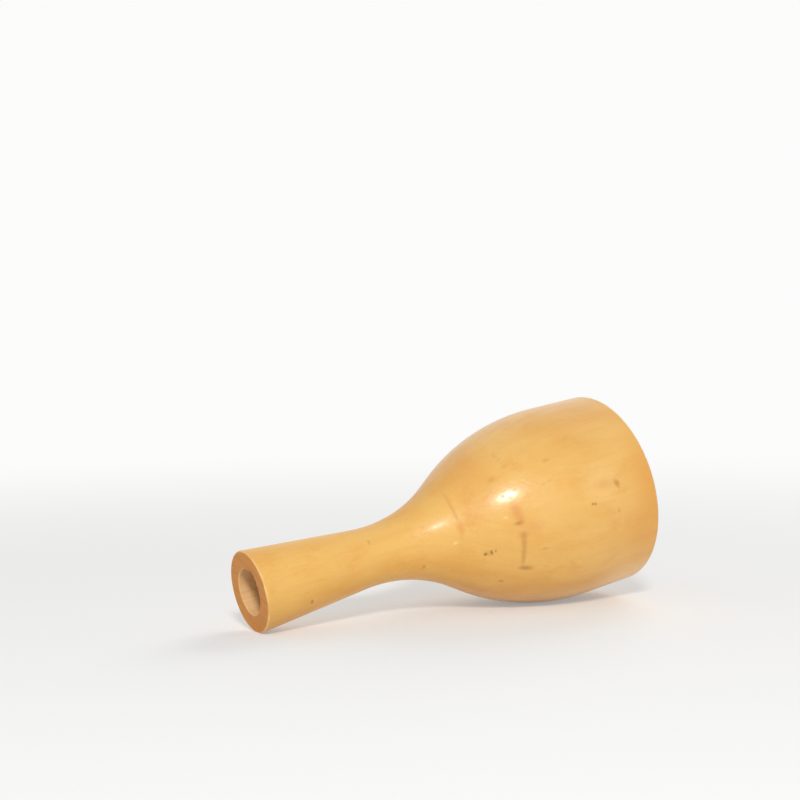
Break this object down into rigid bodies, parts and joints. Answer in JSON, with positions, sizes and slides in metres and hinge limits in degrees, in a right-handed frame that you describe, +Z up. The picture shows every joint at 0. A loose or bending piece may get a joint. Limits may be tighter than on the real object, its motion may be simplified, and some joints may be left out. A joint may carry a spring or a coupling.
{
  "type": "bird call",
  "caption": "Turned wooden bird call: slim tapered mouthpiece flaring to an open bell, with a cork-lapped plug inside that carries a beating brass reed.",
  "frame": {"origin": "on the floor under the middle of the call's bounding box, as it lies on its side", "axes": "+Z up; +X along the call from the mouth to the bell, whose axis rises from it; +Y across"},
  "size_m": [0.0744, 0.0344, 0.0363],
  "materials": {
    "varnished_boxwood": "varnished, glossy",
    "plain_boxwood": "bare, sanded",
    "cork": "sheet cork, matt",
    "reed_brass": "rolled strip, satin"
  },
  "bodies": {
    "call": {"bell_body": "varnished_boxwood"},
    "insert": {"reed_holder": "plain_boxwood", "cork_sleeve": "cork", "reed_wedge": "cork", "reed_root": "reed_brass"},
    "tongue": {"reed_tongue": "reed_brass"}
  },
  "joints": [
    {"name": "insert_slide", "type": "slide", "parent": "call", "child": "insert", "axis": [0.9839, 0, 0.1789], "range_m": [0, 0.055]},
    {"name": "reed_flex", "type": "hinge", "parent": "insert", "child": "tongue", "pos_m": [-0.00408, 0, 0.01275], "axis": [0, -1, 0], "range_deg": [-1, 3], "stiffness_Nm_per_rad": 0.06}
  ]
}
